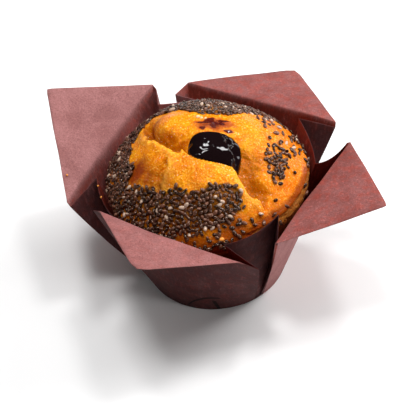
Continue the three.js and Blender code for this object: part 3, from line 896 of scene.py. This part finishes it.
CRUST_GOLD = (0.80, 0.23, 0.002, 1)
CRUST_YELLOW = (0.91, 0.34, 0.003, 1)
CRUST_ORANGE = (0.68, 0.14, 0.001, 1)
CRUST_HOLLOW_SHADE = (0.39, 0.108, 0.0005, 1)
CRUST_BROWN = (0.27, 0.040, 0.003, 1)
CRUST_PAINTED_HIGHLIGHT = (1.0, 0.62, 0.09, 1)
CRUST_PAINTED_GLINT = (1.0, 0.88, 0.60, 1)
CRUST_SEEDED_SHADE = (0.075, 0.015, 0.002, 1)
CRUMB_TAN = (0.42, 0.15, 0.025, 1)
JAM_TINT = (0.30, 0.038, 0.010, 1)
JAM_STAIN = (0.08, 0.006, 0.003, 1)
PATCHY_SIZE = 7 * MM
MOTTLE_SIZE = 2.2 * MM
BAKED_SIZE = 5 * MM
SUGAR_SIZE = 0.75 * MM
CRYSTAL_GLINT_SIZE = 0.8 * MM
ORANGE_SIDE = (12 * MM, 26 * MM)
LOW_SHADE_HEIGHTS = (44 * MM, 54 * MM)
FRONT_SHADE_PLACES = (-38 * MM, -24 * MM)
LIP_BAND = (42.8 * MM, 44.8 * MM)
CRUMB_BAND = (40.9 * MM, 41.5 * MM)
BAND_WAVE = 1.2 * MM
CRUST_RELIEF = 0.5 * MM
crust_finish, crust_shader = new_material("baked_crust")
crust_x, crust_y, crust_z = object_axes(crust_finish)
patchy = noise(crust_finish, PATCHY_SIZE, 3)
mottle = noise(crust_finish, MOTTLE_SIZE, 3)
sugar = noise(crust_finish, SUGAR_SIZE, 3)
baked = noise(crust_finish, BAKED_SIZE, 2)
crystal_glint = noise(crust_finish, CRYSTAL_GLINT_SIZE, 1)
crack_shade = mark(crust_finish, "crust_marks", 0).between(0.15, 0.85)
browned = mark(crust_finish, "crust_marks", 1)
smeared = mark(crust_finish, "crust_marks", 2) * (0.4 + mottle * 1.2)
film, stain = smeared.between(0.12, 0.42), smeared.between(0.44, 0.58)
seeded = mark(crust_finish, "cover_marks", 0)
crested = mark(crust_finish, "cover_marks", 1)
low = 1 - crust_z.between(*LOW_SHADE_HEIGHTS)
front_shade = 1 - crust_y.between(*FRONT_SHADE_PLACES)
bare_side = crust_x.between(*OPEN_SIDE_X) * (1 - crust_y.between(*OPEN_SIDE_Y))
edge_height = crust_z + (mottle - 0.5) * BAND_WAVE - bare_side * (LIP_EDGE - CRUMB_BAND[1])
under = 1 - edge_height.between(*CRUMB_BAND)
crust_colour = layered(crust_finish, CRUST_GOLD, [
    (patchy.between(0.38, 0.66), CRUST_YELLOW),
    (mottle.between(0.5, 0.78) * 0.6, CRUST_ORANGE),
    (baked.between(0.5, 0.7) * 0.6, CRUST_ORANGE),
    (crust_x.between(*ORANGE_SIDE) * 0.6, CRUST_ORANGE),
    # Painted shade: the floors of the cracks are darker.
    (crack_shade, CRUST_HOLLOW_SHADE),
    ((1 - sugar.between(0.36, 0.52)) * 0.55, CRUST_ORANGE),
    # Painted highlight: pale sparkle on the sugar grains.
    (sugar.between(0.56, 0.64) * (1 - crack_shade) * 0.5, CRUST_PAINTED_HIGHLIGHT),
    # Painted glints: small pale spots standing for light off sugar crystals.
    (crystal_glint.between(0.68, 0.74) * 0.4, CRUST_PAINTED_GLINT),
    (browned * (0.5 + mottle), CRUST_BROWN),
    # The crests beside the cracks are paler, partly for torn crumb and partly as painted highlight.
    (crested * 0.22, CRUST_PAINTED_HIGHLIGHT),
    # Between the seeds the crust is browner, and painted with shade.
    (seeded * (0.55 + mottle * 0.5), CRUST_SEEDED_SHADE),
    # Painted shade: deeper orange low on the crust, and browner where it is low at the front.
    (low * 0.5, CRUST_ORANGE),
    (front_shade * low * 0.9, CRUST_BROWN),
    ((1 - edge_height.between(*LIP_BAND)) * 0.85, CRUST_BROWN),
    (under, CRUMB_TAN),
    (under * (1 - sugar.between(0.36, 0.5)) * 0.7, CRUST_BROWN),
    (film * 0.85, JAM_TINT),
    (stain, JAM_STAIN),
])
plug(crust_finish, crust_shader, {
    "Base Color": crust_colour,
    "Roughness": 0.22 - stain * 0.12,
    "Specular IOR Level": 0.14,
    "Coat Weight": film,
    "Coat Roughness": 0.05,
    "Subsurface Weight": 0.2,
    "Subsurface Radius": (1.0, 0.4, 0.08),
    "Subsurface Scale": 2.0 * MM,
    "Normal": bump(crust_finish, sugar * 0.8 + mottle * 0.2, CRUST_RELIEF),
})
crust.data.materials.append(crust_finish)
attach(crust, "root")
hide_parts("muffin")

# The seeds are chia, small glossy ovals strewn on the batter before baking. They lie in a
# thick collar round the side and back, in a patch on the right and thinly between.
SEED_LENGTH = 2.3 * MM
SEED_WIDTH = 1.45 * MM
SEED_THICKNESS = 1.1 * MM
SEED_FULLNESS = 0.85
SEED_TAPER = 0.10
SEED_SIDES = 7
SEED_RINGS = 6
SEED_SPACING = 1.24 * MM
SEED_ATTEMPTS = 40000
SEED_TILT = 0.42
SEED_SCALE = (0.86, 1.1)
SEED_LIFT = 0.475 * SEED_THICKNESS
SEED_PALE_SHARE = 0.05
random = np.random.default_rng(11)


def seed_places():
    """Places and normals for the seeds, none closer to another than the spacing."""
    direction = random.uniform(0, 2 * math.pi, SEED_ATTEMPTS)
    turn = np.arccos(random.uniform(0, 1, SEED_ATTEMPTS))
    centres, normals = crust_surface(direction, turn)
    kept = random.uniform(0, 1, SEED_ATTEMPTS) < seed_cover(centres[:, 0], centres[:, 1])
    centres, normals = centres[kept], normals[kept]
    chosen = []
    for index, centre in enumerate(centres):
        apart = np.sum((centres[chosen] - centre) ** 2, axis=1) > SEED_SPACING ** 2
        if apart.all():
            chosen.append(index)
    return centres[chosen], normals[chosen]


def seed_shape():
    """One seed at the origin, a little narrower at one end, as points and faces."""
    points = [(-1, 0, 0)]
    for ring in range(1, SEED_RINGS):
        angle = math.pi * ring / SEED_RINGS
        swell = math.sin(angle) ** SEED_FULLNESS * (1 + SEED_TAPER * math.cos(angle))
        for side in range(SEED_SIDES):
            turn = 2 * math.pi * side / SEED_SIDES
            points.append((-math.cos(angle), swell * math.cos(turn), swell * math.sin(turn)))
    points.append((1, 0, 0))
    last = len(points) - 1
    faces = [(0, 1 + (side + 1) % SEED_SIDES, 1 + side) for side in range(SEED_SIDES)]
    for ring in range(SEED_RINGS - 2):
        for side in range(SEED_SIDES):
            after = (side + 1) % SEED_SIDES
            low, high = 1 + ring * SEED_SIDES, 1 + (ring + 1) * SEED_SIDES
            faces.append((low + side, low + after, high + after, high + side))
    foot = 1 + (SEED_RINGS - 2) * SEED_SIDES
    faces += [(foot + side, foot + (side + 1) % SEED_SIDES, last) for side in range(SEED_SIDES)]
    return np.array(points) * (SEED_LENGTH / 2, SEED_WIDTH / 2, SEED_THICKNESS / 2), faces


def unit(vectors):
    """The same directions, each of length 1."""
    return vectors / np.linalg.norm(vectors, axis=-1, keepdims=True)


centres, normals = seed_places()
seed_count = len(centres)
seed_up = unit(normals + random.normal(0, SEED_TILT, (seed_count, 3)))
seed_across = unit(np.cross(seed_up, random.normal(0, 1, (seed_count, 3))))
seed_along = np.cross(seed_across, seed_up)
seed_size = random.uniform(*SEED_SCALE, (seed_count, 1, 1))
seed_middle = centres + normals * random.uniform(0, SEED_LIFT, (seed_count, 1))
shape, shape_faces = seed_shape()
seed_axes = np.stack([seed_along, seed_across, seed_up], axis=1)
seed_points = np.einsum("pk,skj->spj", shape, seed_axes) * seed_size + seed_middle[:, None]
seed_faces = [tuple(corner + first for corner in face)
              for first in np.arange(seed_count) * len(shape) for face in shape_faces]
seeds = make_mesh("chia_seeds", seed_points.reshape(-1, 3), seed_faces)
tint = random.uniform(0, 1, seed_count) ** 2
pale = random.uniform(0, 1, seed_count) < SEED_PALE_SHARE
add_marks(seeds, "seed_marks", [np.repeat(tint, len(shape)), np.repeat(pale, len(shape))])

SEED_DARK = (0.014, 0.006, 0.004, 1)
SEED_MAUVE = (0.135, 0.052, 0.030, 1)
SEED_GREY = (0.36, 0.18, 0.118, 1)
SEED_PALE = (0.50, 0.36, 0.27, 1)
SEED_STREAK_SIZE = 0.45 * MM
SEED_RELIEF = 0.03 * MM
seed_finish, seed_shader = new_material("seed_hull")
seed_streak = noise(seed_finish, SEED_STREAK_SIZE, 2)
seed_colour = layered(seed_finish, SEED_DARK, [
    (mark(seed_finish, "seed_marks", 0), SEED_MAUVE),
    (seed_streak.between(0.56, 0.66) * 0.6, SEED_GREY),
    (mark(seed_finish, "seed_marks", 1), SEED_PALE),
])
plug(seed_finish, seed_shader, {
    "Base Color": seed_colour,
    "Roughness": 0.2,
    "Specular IOR Level": 0.6,
    "Specular Tint": (1, 0.76, 0.63, 1),
    "Normal": bump(seed_finish, seed_streak, SEED_RELIEF),
})
seeds.data.materials.append(seed_finish)
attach(seeds, "root")

# The jam is a spoonful of thick, near-black berry jam in the hollow of the crust. It was
# spooned on after baking, so it is smooth, wet and bulges a little above the hollow.
JAM_COLUMNS = 120
JAM_ROWS = 36
JAM_FLATNESS = 0.8
JAM_BUMPS = [(4.4 * MM, 0.6 * MM, 21), (2.1 * MM, 0.18 * MM, 22)]
JAM_BLACK = (0.006, 0.0025, 0.003, 1)


def jam_points():
    """Rings of the jam from its underside's middle out to the edge and back over the top."""
    angles = np.linspace(0, 2 * math.pi, JAM_COLUMNS, endpoint=False)
    rings = []
    for side in (-1, 1):
        steps = range(1, JAM_ROWS + 1) if side < 0 else range(JAM_ROWS - 1, 0, -1)
        for step in steps:
            share = math.sin(math.pi / 2 * step / JAM_ROWS)
            reach = jam_reach(angles) * share
            x = JAM_CENTRE[0] + reach * np.cos(angles)
            y = JAM_CENTRE[1] + reach * np.sin(angles)
            swell = math.sqrt(max(1 - share * share, 0))
            level = JAM_RISE * swell ** JAM_FLATNESS if side > 0 else -JAM_DEPTH * swell
            ring = np.stack([x, y, crust_height(x, y) + level], axis=-1)
            if side > 0:
                for size, rise, number in JAM_BUMPS:
                    ring[:, 2] += cell_noise(ring, size, number) * rise * swell
            rings.append(ring)
    return np.concatenate(rings)


jam_faces = skin_faces(2 * JAM_ROWS - 1, JAM_COLUMNS)
jam = make_mesh("jam_spoonful", jam_points(), [tuple(reversed(face)) for face in jam_faces])
jam_finish, jam_shader = new_material("berry_jam")
plug(jam_finish, jam_shader, {
    "Base Color": JAM_BLACK,
    "Roughness": 0.05,
    "Specular IOR Level": 0.24,
})
jam.data.materials.append(jam_finish)
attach(jam, "root")
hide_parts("jam")

# A few crumbs broke off as the muffin rose: pale ones lie above the jam, golden ones at the
# front of the lip and fine ones on the edge of the paper at the left.
PALE_CRUMBS = [(-1.7, 5.6, 1.5), (-0.4, 4.9, 1.3), (1.0, 4.6, 1.0)]
GOLDEN_CRUMBS = [(2.4, -36.2, 1.9), (3.4, -36.7, 1.2), (1.5, -36.6, 1.0)]
FINE_CRUMB_PLACES = [polar(40.9, 185, 47.9), polar(40.8, 193, 47.3), polar(52.2, 176.6, 48.6)]
FINE_CRUMB = 0.7
CRUMB_LUMP_SIZE = 0.45 * MM
CRUMB_LUMP = 0.35
on_crust = PALE_CRUMBS + GOLDEN_CRUMBS
spots = [Vector((x * MM, y * MM, float(crust_height(np.array(x * MM), np.array(y * MM)))))
         for x, y, size in on_crust]
sizes = [size for x, y, size in on_crust] + [FINE_CRUMB] * len(FINE_CRUMB_PLACES)
crumb_points, crumb_faces = [], []
for spot, size in zip(spots + FINE_CRUMB_PLACES, sizes):
    lump = shape / np.abs(shape).max(axis=0) * (size / 2 * MM)
    lump = lump * (1 + CRUMB_LUMP * cell_noise(lump + np.array(spot), CRUMB_LUMP_SIZE, 41)[:, None])
    crumb_faces += [tuple(corner + len(crumb_points) for corner in face) for face in shape_faces]
    crumb_points += list(lump + np.array(spot))
crumbs = make_mesh("loose_crumbs", crumb_points, crumb_faces)
golden = np.arange(len(sizes)) >= len(PALE_CRUMBS)
add_marks(crumbs, "crumb_marks", [np.repeat(golden, len(shape))])
CRUMB_PALE = (0.85, 0.58, 0.31, 1)
CRUMB_GOLDEN = (0.80, 0.30, 0.05, 1)
crumb_finish, crumb_shader = new_material("loose_crumb")
plug(crumb_finish, crumb_shader, {
    "Base Color": blend(crumb_finish, mark(crumb_finish, "crumb_marks", 0), CRUMB_PALE, CRUMB_GOLDEN),
    "Roughness": 0.5,
    "Specular IOR Level": 0.3,
})
crumbs.data.materials.append(crumb_finish)
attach(crumbs, "root")

# The stage: a plain white floor under soft studio light. A wide lamp hangs above, kept out of
# the reflections, with three small ones round it that give the jam its glints. Two lamps
# stand at the right, and a faint one at the left gives the paper a sheen.
FLOOR_HALF = 3.0
FLOOR_WHITE = (0.86, 0.86, 0.86, 1)
floor = make_mesh("floor", [(x * FLOOR_HALF, y * FLOOR_HALF, 0) for x, y in
                            ((-1, -1), (1, -1), (1, 1), (-1, 1))], [(0, 1, 2, 3)])
floor_finish, floor_shader = new_material("white_floor")
plug(floor_finish, floor_shader, {"Base Color": FLOOR_WHITE, "Roughness": 0.9})
floor.data.materials.append(floor_finish)


def soft_light(name, place, width, power):
    """A round lamp at a place, aimed at the middle of the muffin."""
    lamp = bpy.data.lights.new(name, "AREA")
    lamp.shape = "DISK"
    lamp.size = width
    lamp.energy = power
    light = bpy.data.objects.new(name, lamp)
    light.location = place
    light.rotation_euler = (Vector(place) - AIM).to_track_quat("Z", "Y").to_euler()
    bpy.context.scene.collection.objects.link(light)
    return light


OVERHEAD_PLACE = Vector((0.02, 0.12, 1.0))
GLINT_LAMPS = 3
GLINT_SPREAD = 0.28
SKY_STRENGTH = 0.03
overhead = soft_light("overhead", OVERHEAD_PLACE, width=1.1, power=4.0)
overhead.visible_glossy = False
for lamp_number in range(GLINT_LAMPS):
    turn = 2 * math.pi * lamp_number / GLINT_LAMPS
    away = Vector((math.cos(turn), math.sin(turn), 0)) * GLINT_SPREAD
    soft_light(f"glint_{lamp_number + 1}", OVERHEAD_PLACE + away, width=0.18, power=2.7)
soft_light("right", (0.77, 0.27, 0.61), width=0.6, power=9.0)
soft_light("low_right", (0.8, -0.5, 0.3), width=0.3, power=3.0)
soft_light("sheen", (-0.5, -0.1, 0.8), width=0.3, power=0.5)
sky = bpy.data.worlds.new("studio")
bpy.context.scene.world = sky
sky.use_nodes = True
background = sky.node_tree.nodes["Background"]
background.inputs["Color"].default_value = (1, 1, 1, 1)
background.inputs["Strength"].default_value = SKY_STRENGTH
